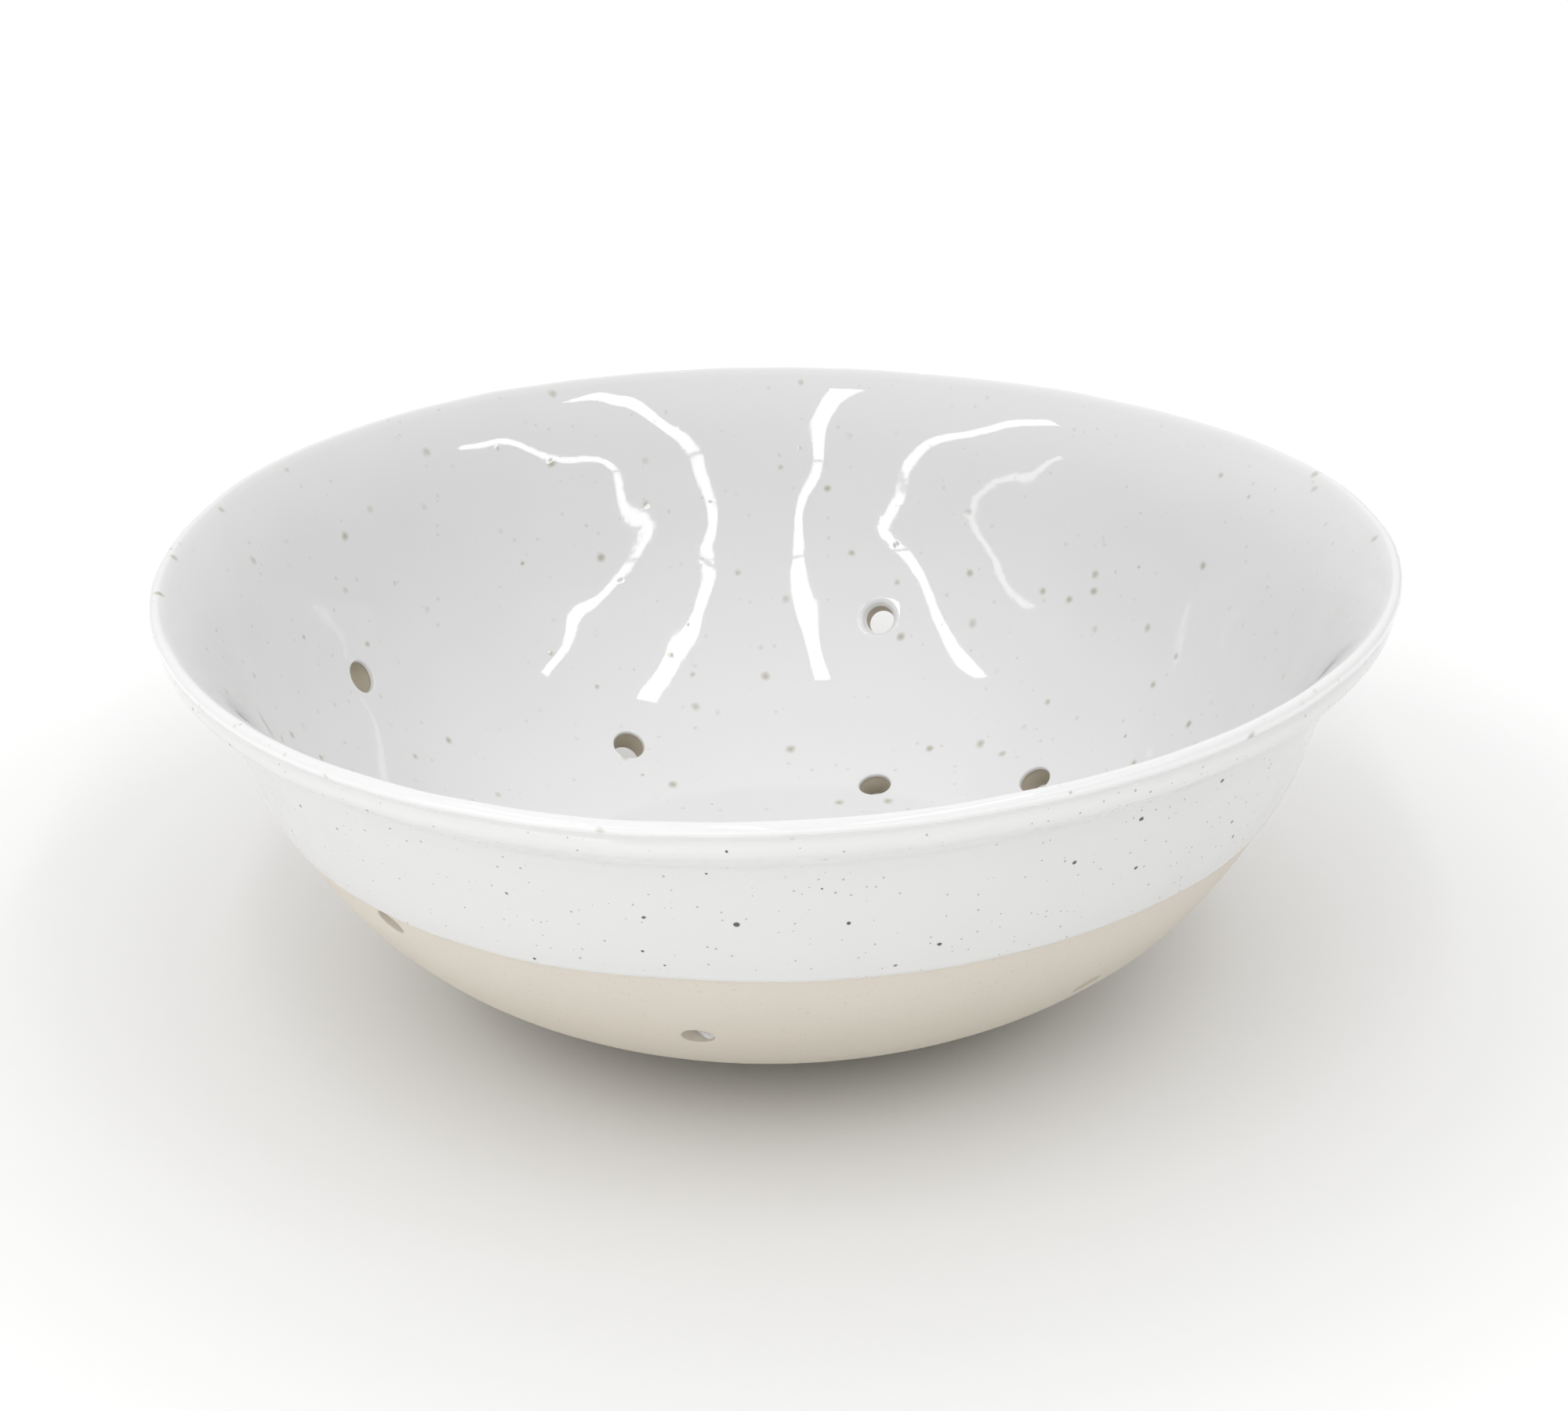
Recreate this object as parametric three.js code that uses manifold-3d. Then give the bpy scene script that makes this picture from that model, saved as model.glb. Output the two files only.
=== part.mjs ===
// Stoneware colander: a round clay bowl with a rolled lip and a foot ring, pierced by drain holes.
// A liner glaze covers the inside and wraps over the rim bead into the groove below it. A second glaze
// band, from dipping, covers the outside from that groove down to the dip line. The belly stays bare.
import * as THREE from 'three';
import { mergeVertices } from 'three/addons/utils/BufferGeometryUtils.js';
import Module from 'manifold-3d';

const wasm = await Module();
wasm.setup();

// Overall sizes in millimetres, measured over the glaze.
const RIM_DIAMETER = 250;
const HEIGHT = 90;

// Clay bowl: wall thickness, and the two reaches that shape the belly between the foot and the lip.
const WALL = 5;
const WALL_ANGLE = 72.5;
const BELLY_REACH = 37;
const WALL_REACH = 39;

// Flare of the inside: its depth below the rim, its slope at the bead, how far it first keeps to the
// wall's line, and how far it runs straight into the bead.
const FLARE_DROP = 33;
const FLARE_ANGLE = 40;
const FLARE_LEAD = 18;
const FLARE_LAG = 12;

// Lip: radii of the clay in the order in which its section runs from the crest down to the wall.
const BEAD_RADIUS = 0.8;
const GROOVE_RADIUS = 1.7;
const ROLL_RADIUS = 2.9;
const LIP_UNDERCUT = 150;
const ROLL_LEAD = 72;
const UNDERLIP_WIDTH = 3.8;
const UNDERLIP_FILLET = 4.6;

// Foot ring and the recess inside it.
const FOOT_DIAMETER = 84;
const FOOT_HEIGHT = 5.2;
const FOOT_WIDTH = 6;
const FOOT_FILLET = 2;
const FOOT_ROUND = 1;
const RECESS_DEPTH = 4;

// Glaze: thickness, the hair of space that keeps it a solid of its own, and how deep the rim was dipped.
const GLAZE = 0.55;
const GLAZE_BED = 0.05;
const DIP_DEPTH = 41.5;

// Drain holes, punched by eye: bearings are degrees about the axis, and a climb is the distance along the
// outside of the wall from the foot's fillet up to the middle of the hole.
const HOLE_DIAMETER = 7.8;
const DRILL_OVERRUN = 6;
const WALL_HOLES = [
  { bearing: 36, climb: 30.5 },
  { bearing: 68, climb: 14.5 },
  { bearing: 119, climb: 32.5 },
  { bearing: 75, climb: 63 },
  { bearing: 158, climb: 75 },
  { bearing: 224, climb: 74 },
  { bearing: 260, climb: 57 },
  { bearing: 310, climb: 51.5 },
];
const FLOOR_HOLES = 5;
const FLOOR_HOLE_RING = 52;

// Facets: sides of the turned bodies and of a drain hole, and steps along each stretch of the section.
const TURNED_SIDES = 48;
const HOLE_SIDES = 16;
const STEPS = { wall: 7, flare: 5, bead: 6, groove: 2, roll: 4, fillet: 2, hull: 4, belly: 6, foot: 2 };

// Finest steps that count: of a curve's parameter, and of a place in millimetres.
const PARAMETER_STEP = 1e-9;
const PLACE_STEP = 1e-4;

const COAT = GLAZE + GLAZE_BED;
const radians = THREE.MathUtils.degToRad;

// A station is a point of the clay's section and the heading of travel there. The section runs from the
// floor's centre up the inside, over the lip and down the outside, so the clay is always on the right.
const station = (point, heading) => ({ point, heading });
const ahead = (heading) => new THREE.Vector2(Math.cos(heading), Math.sin(heading));
const leftOf = (heading) => new THREE.Vector2(-Math.sin(heading), Math.cos(heading));
const last = (stations) => stations[stations.length - 1];

// Adds a round stretch that leaves the last station smoothly and ends on the given heading.
function turn(stations, radius, heading, steps) {
  const { point, heading: start } = last(stations);
  const side = Math.sign(heading - start);
  const centre = point.clone().addScaledVector(leftOf(start), side * radius);
  for (let i = 1; i <= steps; i += 1) {
    const now = THREE.MathUtils.lerp(start, heading, i / steps);
    stations.push(station(centre.clone().addScaledVector(leftOf(now), -side * radius), now));
  }
}

// Adds a straight stretch along the last station's heading.
function straight(stations, length) {
  const { point, heading } = last(stations);
  stations.push(station(point.clone().addScaledVector(ahead(heading), length), heading));
}

// Station on a curve, travelled forwards (1) or backwards (-1), set off to the left of travel.
function stationAt(curve, t, way, offset = 0) {
  const tangent = curve.getTangent(t).multiplyScalar(way);
  const heading = Math.atan2(tangent.y, tangent.x);
  return station(curve.getPoint(t).addScaledVector(leftOf(heading), offset), heading);
}

// Evenly spaced stations on a curve between two of its parameters.
function along(curve, from, to, steps, offset = 0) {
  const way = Math.sign(to - from);
  const parameter = (i) => THREE.MathUtils.lerp(from, to, i / steps);
  return Array.from({ length: steps + 1 }, (_, i) => stationAt(curve, parameter(i), way, offset));
}

// Parameter between 0 and 1 at which a rising function reaches a value.
function solve(rising, value) {
  let low = 0;
  let high = 1;
  while (high - low > PARAMETER_STEP) {
    const middle = (low + high) / 2;
    if (rising(middle) < value) low = middle;
    else high = middle;
  }
  return low;
}

// Lip of the clay: bead, groove, roll and the concave underlip that runs into the wall. The groove is
// turned in two halves, because the two glazes meet at its bottom.
function lipStations() {
  const beadCentre = new THREE.Vector2(RIM_DIAMETER / 2, HEIGHT).subScalar(COAT + BEAD_RADIUS);
  const flare = radians(FLARE_ANGLE);
  const undercut = -radians(LIP_UNDERCUT);
  const bead = [station(beadCentre.addScaledVector(leftOf(flare), BEAD_RADIUS), flare)];
  turn(bead, BEAD_RADIUS, undercut, STEPS.bead);
  turn(bead, GROOVE_RADIUS, -Math.PI / 2, STEPS.groove);
  const roll = [last(bead)];
  turn(roll, GROOVE_RADIUS, -radians(ROLL_LEAD), STEPS.groove);
  turn(roll, ROLL_RADIUS, undercut, STEPS.roll);
  straight(roll, UNDERLIP_WIDTH);
  turn(roll, UNDERLIP_FILLET, radians(WALL_ANGLE) - Math.PI, STEPS.fillet);
  return { bead, roll };
}

// Outer curve of the belly, from the foot's fillet out and up to the root of the lip.
function hullCurve(lipRoot) {
  const footEdge = new THREE.Vector2(FOOT_DIAMETER / 2 + FOOT_FILLET, FOOT_HEIGHT);
  const belly = footEdge.clone().add(new THREE.Vector2(BELLY_REACH, 0));
  const shoulder = lipRoot.clone().addScaledVector(ahead(radians(WALL_ANGLE)), -WALL_REACH);
  return new THREE.CubicBezierCurve(footEdge, belly, shoulder, lipRoot);
}

// Inside of the clay: level floor, wall at an even thickness, and a flare that eases into the bead.
function insideStations(hull, crest) {
  const innerHeight = (t) => stationAt(hull, t, 1, WALL).point.y;
  const wall = along(hull, 0, solve(innerHeight, HEIGHT - FLARE_DROP), STEPS.wall, WALL);
  const top = last(wall);
  const flare = new THREE.CubicBezierCurve(
    top.point,
    top.point.clone().addScaledVector(ahead(top.heading), FLARE_LEAD),
    crest.point.clone().addScaledVector(ahead(crest.heading), -FLARE_LAG),
    crest.point,
  );
  const floorCentre = station(new THREE.Vector2(0, wall[0].point.y), 0);
  return [floorCentre, ...wall, ...along(flare, 0, 1, STEPS.flare).slice(1, -1)];
}

// Foot ring below the belly, and the underside of the floor inside it.
function footStations(footEdge) {
  const stations = [station(footEdge, -Math.PI)];
  turn(stations, FOOT_FILLET, -Math.PI / 2, STEPS.foot);
  straight(stations, FOOT_HEIGHT - FOOT_FILLET - FOOT_ROUND);
  turn(stations, FOOT_ROUND, -Math.PI, STEPS.foot);
  straight(stations, FOOT_WIDTH - 2 * FOOT_ROUND);
  turn(stations, FOOT_ROUND, -1.5 * Math.PI, STEPS.foot);
  straight(stations, RECESS_DEPTH - FOOT_ROUND);
  stations.push(station(new THREE.Vector2(0, RECESS_DEPTH), -Math.PI));
  return stations.slice(1);
}

const { bead, roll } = lipStations();
const hull = hullCurve(last(roll).point);
const dip = solve((t) => hull.getPoint(t).y, HEIGHT - DIP_DEPTH);
const inside = [...insideStations(hull, bead[0]), ...bead];
const outside = [...roll, ...along(hull, 1, dip, STEPS.hull).slice(1)];
const bare = along(hull, dip, 0, STEPS.belly).slice(1);
const foot = footStations(hull.v0);

// The points of a stretch of the section, lifted off the clay by a distance.
const lifted = (stations, lift) => (
  stations.map(({ point, heading }) => point.clone().addScaledVector(leftOf(heading), lift))
);

// Section of a glaze coat over a stretch of clay: along its open face, and back along its bed.
const coatSection = (stations) => [
  ...lifted(stations, COAT),
  ...lifted(stations, GLAZE_BED).reverse(),
];

// Solid from a geometry: vertices are shared, and triangles that the axis closes up are left out.
function solid(geometry) {
  geometry.deleteAttribute('normal');
  geometry.deleteAttribute('uv');
  const merged = mergeVertices(geometry, PLACE_STEP);
  const corners = merged.index.array;
  const kept = [];
  for (let i = 0; i < corners.length; i += 3) {
    const [a, b, c] = corners.slice(i, i + 3);
    if (a !== b && b !== c && c !== a) kept.push(a, b, c);
  }
  const vertProperties = new Float32Array(merged.attributes.position.array);
  return new wasm.Manifold(new wasm.Mesh({ numProp: 3, vertProperties, triVerts: new Uint32Array(kept) }));
}

// Turned body about the vertical axis, from a section with its material on the right of travel.
function turned(section) {
  const geometry = new THREE.LatheGeometry([...section].reverse(), TURNED_SIDES);
  return solid(geometry.rotateX(Math.PI / 2));
}

// Drill for one hole, square to the clay at a station of the hull or floor, at a bearing.
function drill({ point, heading }, bearing) {
  const length = WALL + 2 * COAT + 2 * DRILL_OVERRUN;
  const middle = point.clone().addScaledVector(leftOf(heading), WALL / 2);
  const geometry = new THREE.CylinderGeometry(HOLE_DIAMETER / 2, HOLE_DIAMETER / 2, length, HOLE_SIDES);
  geometry.rotateX(Math.PI / 2);
  geometry.rotateY(-heading);
  geometry.translate(middle.x, 0, middle.y);
  geometry.rotateZ(radians(bearing));
  return solid(geometry);
}

// One drill for each hole: those in the wall, the ring of holes in the floor, and the one at its centre.
function drainDrills() {
  const floor = (radius) => station(new THREE.Vector2(radius, FOOT_HEIGHT), 0);
  const wallDrills = WALL_HOLES.map(({ bearing, climb }) => (
    drill(stationAt(hull, hull.getUtoTmapping(0, climb), 1), bearing)
  ));
  const ringDrills = Array.from({ length: FLOOR_HOLES }, (_, i) => (
    drill(floor(FLOOR_HOLE_RING / 2), (i * 360) / FLOOR_HOLES)
  ));
  return [...wallDrills, ...ringDrills, drill(floor(0), 0)];
}

const drills = drainDrills();

// Named mesh of a body after all the drain holes have been cut through it.
function pierced(name, body, material) {
  const cut = drills.reduce((rest, tool) => rest.subtract(tool), body).getMesh();
  const geometry = new THREE.BufferGeometry();
  geometry.setAttribute('position', new THREE.BufferAttribute(new Float32Array(cut.vertProperties), 3));
  geometry.setIndex(new THREE.BufferAttribute(new Uint32Array(cut.triVerts), 1));
  geometry.computeVertexNormals();
  const mesh = new THREE.Mesh(geometry, material);
  mesh.name = name;
  return mesh;
}

const clay = new THREE.MeshStandardMaterial({ color: 0xd6cbbb, roughness: 0.7, metalness: 0 });
const liner = new THREE.MeshStandardMaterial({ color: 0xe6e6e3, roughness: 0.12, metalness: 0 });
const dipGlaze = new THREE.MeshStandardMaterial({ color: 0xe8e9e4, roughness: 0.15, metalness: 0 });

const colander = new THREE.Group();
const claySection = lifted([...inside, ...outside.slice(1), ...bare, ...foot], 0);
const bandSection = coatSection(outside);
colander.add(pierced('stoneware_body', turned(claySection), clay));
colander.add(pierced('inside_glaze', turned(coatSection(inside)), liner));
colander.add(pierced('outside_glaze_band', turned([...bandSection, bandSection[0]]), dipGlaze));

export default colander;
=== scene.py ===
"""Stoneware colander: a turned clay bowl under two glazes, pierced by drain holes.

The clay bowl, the liner glaze and the dipped glaze band are turned on the same section as the solid
model, in metres, and then pierced, fired out of true by a hair and given their finishes.
"""

import logging
import math
from bisect import bisect_left
from dataclasses import dataclass, field
from enum import Enum
from functools import cache
from typing import Callable, Iterable, Optional, Sequence, Union

import bmesh
import bpy
from mathutils import Matrix, Vector, noise
from mathutils.kdtree import KDTree


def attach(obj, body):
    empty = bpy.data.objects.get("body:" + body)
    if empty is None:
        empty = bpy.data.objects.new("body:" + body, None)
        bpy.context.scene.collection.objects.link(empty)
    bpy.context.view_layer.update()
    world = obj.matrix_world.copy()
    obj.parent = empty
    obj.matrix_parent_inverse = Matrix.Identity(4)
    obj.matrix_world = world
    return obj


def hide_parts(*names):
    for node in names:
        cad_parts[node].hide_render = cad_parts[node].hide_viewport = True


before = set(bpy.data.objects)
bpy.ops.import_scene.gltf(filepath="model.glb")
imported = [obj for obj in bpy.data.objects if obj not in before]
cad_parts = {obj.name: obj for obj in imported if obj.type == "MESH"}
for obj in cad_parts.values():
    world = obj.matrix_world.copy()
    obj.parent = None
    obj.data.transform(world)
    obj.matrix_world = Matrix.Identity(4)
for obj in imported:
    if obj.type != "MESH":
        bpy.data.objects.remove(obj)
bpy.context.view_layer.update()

LOG = logging.getLogger("colander")
BODY = "root"
BORE_SHADE = "bore"
# Attribute that marks where a painted highlight brightens the top of the rim bead.
CREST_HIGHLIGHT = "crest"
WELD = 1e-6
TAU = 2 * math.pi


class Slot(Enum):
    """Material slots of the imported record."""

    CLAY = "bare_clay"
    LINER = "liner_glaze"
    DIP = "dip_glaze"


class Node(Enum):
    """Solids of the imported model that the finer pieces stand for."""

    CLAY = "stoneware_body"
    LINER = "inside_glaze"
    DIP = "outside_glaze_band"


@dataclass(frozen=True)
class Station:
    """Point of the clay's section and the heading of travel there, with the clay on the right.

    Attributes:
        r: Distance from the axis.
        z: Height above the resting plane.
        heading: Direction of travel in radians, 0 outwards and a quarter turn upwards.
    """

    r: float
    z: float
    heading: float

    def off(self, lift: float, way: float = 0.0) -> Vector:
        """Section point lifted off the clay to the left of travel, and moved along it."""
        c, s = math.cos(self.heading), math.sin(self.heading)
        return Vector((self.r - lift * s + way * c, 0.0, self.z + lift * c + way * s))


@dataclass(frozen=True)
class Bezier:
    """Cubic curve of the section.

    Attributes:
        points: Its four control points, each a radius and a height.
    """

    points: tuple

    def station(self, t: float) -> Station:
        """Point and heading at a parameter from 0 to 1."""
        a, b, c, d = (Vector(p) for p in self.points)
        u = 1 - t
        place = a * u**3 + b * (3 * u * u * t) + c * (3 * u * t * t) + d * t**3
        slope = (b - a) * (u * u) + (c - b) * (2 * u * t) + (d - c) * (t * t)
        return Station(place.x, place.y, math.atan2(slope.y, slope.x))

    @cache
    def lengths(self, cuts: int = 800) -> list:
        """Distance travelled at evenly spaced parameters."""
        marks = [self.station(i / cuts).off(0) for i in range(cuts + 1)]
        run = [0.0]
        for a, b in zip(marks, marks[1:]):
            run.append(run[-1] + (b - a).length)
        return run

    def at_length(self, length: float) -> float:
        """Parameter at which a distance has been travelled."""
        run = self.lengths()
        i = min(bisect_left(run, length), len(run) - 1)
        if i == 0:
            return 0.0
        return (i - 1 + (length - run[i - 1]) / (run[i] - run[i - 1])) / (len(run) - 1)

    def even(self, start: float, end: float, spacing: float) -> list:
        """Stations at an even spacing between two parameters, both ends included.

        Args:
            start: First parameter.
            end: Last parameter, larger than the first.
            spacing: Largest distance between stations.

        Returns:
            The stations in the order of travel.
        """
        run = self.lengths()
        count = len(run) - 1
        low, high = (self._length(run, t * count) for t in (start, end))
        steps = max(1, math.ceil((high - low) / spacing))
        return [self.station(self.at_length(low + (high - low) * i / steps)) for i in range(steps + 1)]

    @staticmethod
    def _length(run: Sequence, mark: float) -> float:
        """Distance travelled at a fractional mark of the table."""
        i = min(int(mark), len(run) - 2)
        return run[i] + (run[i + 1] - run[i]) * (mark - i)


@dataclass(frozen=True)
class ClaySection:
    """Section of the clay, from the middle of the floor over the lip to the foot.

    Attributes:
        rim_diameter: Across the rim bead, over the glaze.
        height: From the resting plane to the top of the rim, over the glaze.
        wall: Thickness of the wall.
        wall_angle: Slope of the wall where it meets the lip, in degrees.
        belly_reach: How far the belly runs level out of the foot.
        wall_reach: How far the wall runs straight into the lip.
        flare_drop: Depth below the rim at which the inside begins to flare.
        flare_angle: Slope of the flare where it meets the bead, in degrees.
        flare_lead: How far the flare first keeps to the wall's line.
        flare_lag: How far the flare runs straight into the bead.
        bead_radius: Round of the rim bead.
        groove_radius: Round of the groove below the bead.
        roll_radius: Round of the roll below the groove.
        bead_undercut: How far the bead turns round, in degrees.
        roll_lead: Slope on which the roll leaves the groove, in degrees.
        roll_undercut: How far the roll turns round, in degrees.
        underlip_width: Straight underside of the lip.
        underlip_fillet: Hollow between the lip and the wall.
        neck: How far the outside is drawn in under the lip, by hand.
        fullness: How far the belly stands out.
        belly: Heights at which the belly begins and ends, and at which the neck is fully drawn in.
        foot_diameter: Across the outside of the foot ring.
        foot_height: From the resting plane to the belly.
        foot_width: Width of the foot ring.
        foot_fillet: Hollow between the foot and the belly.
        foot_round: Softened edges of the foot ring.
        recess_depth: Depth of the hollow inside the foot ring.
        coat: Height of the open face of a glaze over the clay.
        bed: Height of the back of a glaze over the clay.
        dip_depth: Depth below the rim that was dipped.
        hole_radius: Half the width of a drain hole in the clay, inside the bowl.
        exit_radius: The same outside the bowl, where the tool came out.
        mouth_round: Softened edge of a drain hole on the outside.
        mouth_break: Softened edge of a drain hole on the inside.
    """

    rim_diameter: float = 0.250
    height: float = 0.090
    wall: float = 0.005
    wall_angle: float = 72.5
    belly_reach: float = 0.037
    wall_reach: float = 0.03718
    flare_drop: float = 0.033
    flare_angle: float = 40.0
    flare_lead: float = 0.018
    flare_lag: float = 0.012
    bead_radius: float = 0.0008
    groove_radius: float = 0.0017
    roll_radius: float = 0.0029
    bead_undercut: float = 150.0
    roll_lead: float = 72.0
    roll_undercut: float = 145.0
    underlip_width: float = 0.00695
    underlip_fillet: float = 0.0046
    neck: float = 0.0013
    fullness: float = 0.0008
    belly: tuple = (0.008, 0.050, 0.066)
    foot_diameter: float = 0.084
    foot_height: float = 0.0052
    foot_width: float = 0.006
    foot_fillet: float = 0.002
    foot_round: float = 0.001
    recess_depth: float = 0.004
    coat: float = 0.0006
    bed: float = 0.00005
    dip_depth: float = 0.0415
    hole_radius: float = 0.0039
    exit_radius: float = 0.0031
    mouth_round: float = 0.0003
    mouth_break: float = 0.0003

    @property
    def floor(self) -> float:
        """Height of the clay's floor inside the bowl."""
        return self.foot_height + self.wall

    @staticmethod
    def turn(trail: list, radius: float, heading: float, spacing: float) -> None:
        """Adds a round stretch that leaves the last station smoothly.

        Args:
            trail: Stations so far.
            radius: Radius of the round.
            heading: Heading at its end, in degrees.
            spacing: Largest distance between stations.
        """
        start, goal = trail[-1], math.radians(heading)
        sweep = goal - start.heading
        side = math.copysign(radius, sweep)
        centre = start.off(side)
        steps = max(math.ceil(abs(sweep) / math.radians(11)), math.ceil(abs(sweep) * radius / spacing))
        for i in range(1, steps + 1):
            now = start.heading + sweep * i / steps
            place = Station(centre.x, centre.z, now).off(-side)
            trail.append(Station(place.x, place.z, now))

    @staticmethod
    def straight(trail: list, length: float, spacing: float) -> None:
        """Adds a straight stretch along the last heading.

        Args:
            trail: Stations so far.
            length: Length of the stretch.
            spacing: Largest distance between stations.
        """
        start = trail[-1]
        steps = max(1, math.ceil(length / spacing))
        for i in range(1, steps + 1):
            place = start.off(0, length * i / steps)
            trail.append(Station(place.x, place.z, start.heading))

    def bead(self, spacing: float) -> list:
        """Stations over the rim bead, from the flare to the bottom of the groove."""
        centre = -self.coat - self.bead_radius
        flare = math.radians(self.flare_angle)
        middle = Station(self.rim_diameter / 2 + centre, self.height + centre, flare)
        crest = middle.off(self.bead_radius)
        trail = [Station(crest.x, crest.z, flare)]
        self.turn(trail, self.bead_radius, -self.bead_undercut, spacing)
        self.turn(trail, self.groove_radius, -90, spacing)
        return trail

    def roll(self, spacing: float) -> list:
        """Stations from the bottom of the groove over the roll to the root of the lip."""
        trail = [self.bead(spacing)[-1]]
        self.turn(trail, self.groove_radius, -self.roll_lead, spacing)
        self.turn(trail, self.roll_radius, -self.roll_undercut, spacing)
        self.straight(trail, self.underlip_width, spacing)
        self.turn(trail, self.underlip_fillet, self.wall_angle - 180, spacing)
        return trail

    @cache
    def hull(self) -> Bezier:
        """Outer curve of the belly, from the foot's fillet up to the root of the lip."""
        root = self.roll(1.0)[-1]
        foot = (self.foot_diameter / 2 + self.foot_fillet, self.foot_height)
        slope = math.radians(self.wall_angle)
        edge = root.r + self.neck
        shoulder = (edge - self.wall_reach * math.cos(slope), root.z - self.wall_reach * math.sin(slope))
        return Bezier((foot, (foot[0] + self.belly_reach, foot[1]), shoulder, (edge, root.z)))

    @cache
    def reach(self, height: float, lift: float) -> float:
        """Parameter of the hull at which a line set off from it reaches a height.

        Args:
            height: Height to reach.
            lift: Distance of the line from the hull, into the bowl.

        Returns:
            The parameter.
        """
        hull, low, high = self.hull(), 0.0, 1.0
        for _ in range(40):
            middle = (low + high) / 2
            below = hull.station(middle).off(lift).z < height
            low, high = (middle, high) if below else (low, middle)
        return low

    def dip(self) -> float:
        """Parameter of the hull at the dip line."""
        return self.reach(self.height - self.dip_depth, 0.0)

    def wall_inside(self, spacing: float) -> list:
        """Stations of the inside wall and its flare, from the floor's edge to the bead."""
        rise = self.hull().even(0, self.reach(self.height - self.flare_drop, self.wall), spacing)
        trail = [Station(s.off(self.wall).x, s.off(self.wall).z, s.heading) for s in rise]
        top, crest = trail[-1], self.bead(spacing)[0]
        lead, lag = top.off(0, self.flare_lead), crest.off(0, -self.flare_lag)
        flare = Bezier(((top.r, top.z), (lead.x, lead.z), (lag.x, lag.z), (crest.r, crest.z)))
        return trail + flare.even(0, 1, spacing)[1:-1]

    def floor_inside(self, start: float, spacing: float) -> list:
        """Stations of the level floor, from a radius to the foot of the wall."""
        trail = [Station(start, self.floor, 0.0)]
        self.straight(trail, self.foot_diameter / 2 + self.foot_fillet - start, spacing)
        return trail

    def band(self, spacing: float) -> list:
        """Stations under the dipped band, from the groove to the dip line."""
        return self.roll(spacing) + self.downhill(self.dip(), 1.0, spacing)[1:]

    def bare(self, spacing: float) -> list:
        """Stations of the bare clay, from the dip line to the middle of the recess."""
        trail = self.downhill(0.0, self.dip(), spacing)
        trail[-1] = Station(trail[-1].r, trail[-1].z, -math.pi)
        self.turn(trail, self.foot_fillet, -90, spacing)
        self.straight(trail, self.foot_height - self.foot_fillet - self.foot_round, spacing)
        self.turn(trail, self.foot_round, -180, spacing)
        self.straight(trail, self.foot_width - 2 * self.foot_round, spacing)
        self.turn(trail, self.foot_round, -270, spacing)
        self.straight(trail, self.recess_depth - self.foot_round, spacing)
        corner = trail[-1]
        trail.append(Station(corner.r, corner.z, -math.pi))
        self.straight(trail, corner.r - self.exit_radius - self.mouth_round, spacing)
        trail[-1] = Station(trail[-1].r, trail[-1].z, math.pi)
        self.turn(trail, self.mouth_round, 90, spacing)
        return trail

    def downhill(self, start: float, end: float, spacing: float) -> list:
        """Stations of the hull between two parameters, travelled down towards the foot."""
        climb = self.hull().even(start, end, spacing)
        return [Station(s.r + self.swell(s.z), s.z, s.heading - math.pi) for s in reversed(climb)]

    def swell(self, height: float) -> float:
        """How far the outside stands off its plain curve at a height."""
        low, middle, high = self.belly
        full = math.sin(math.pi * min(1.0, max(0.0, (height - low) / (middle - low)))) ** 2
        drawn = min(1.0, max(0.0, (height - middle) / (high - middle)))
        return self.fullness * full - self.neck * drawn * drawn * (3 - 2 * drawn)


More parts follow.
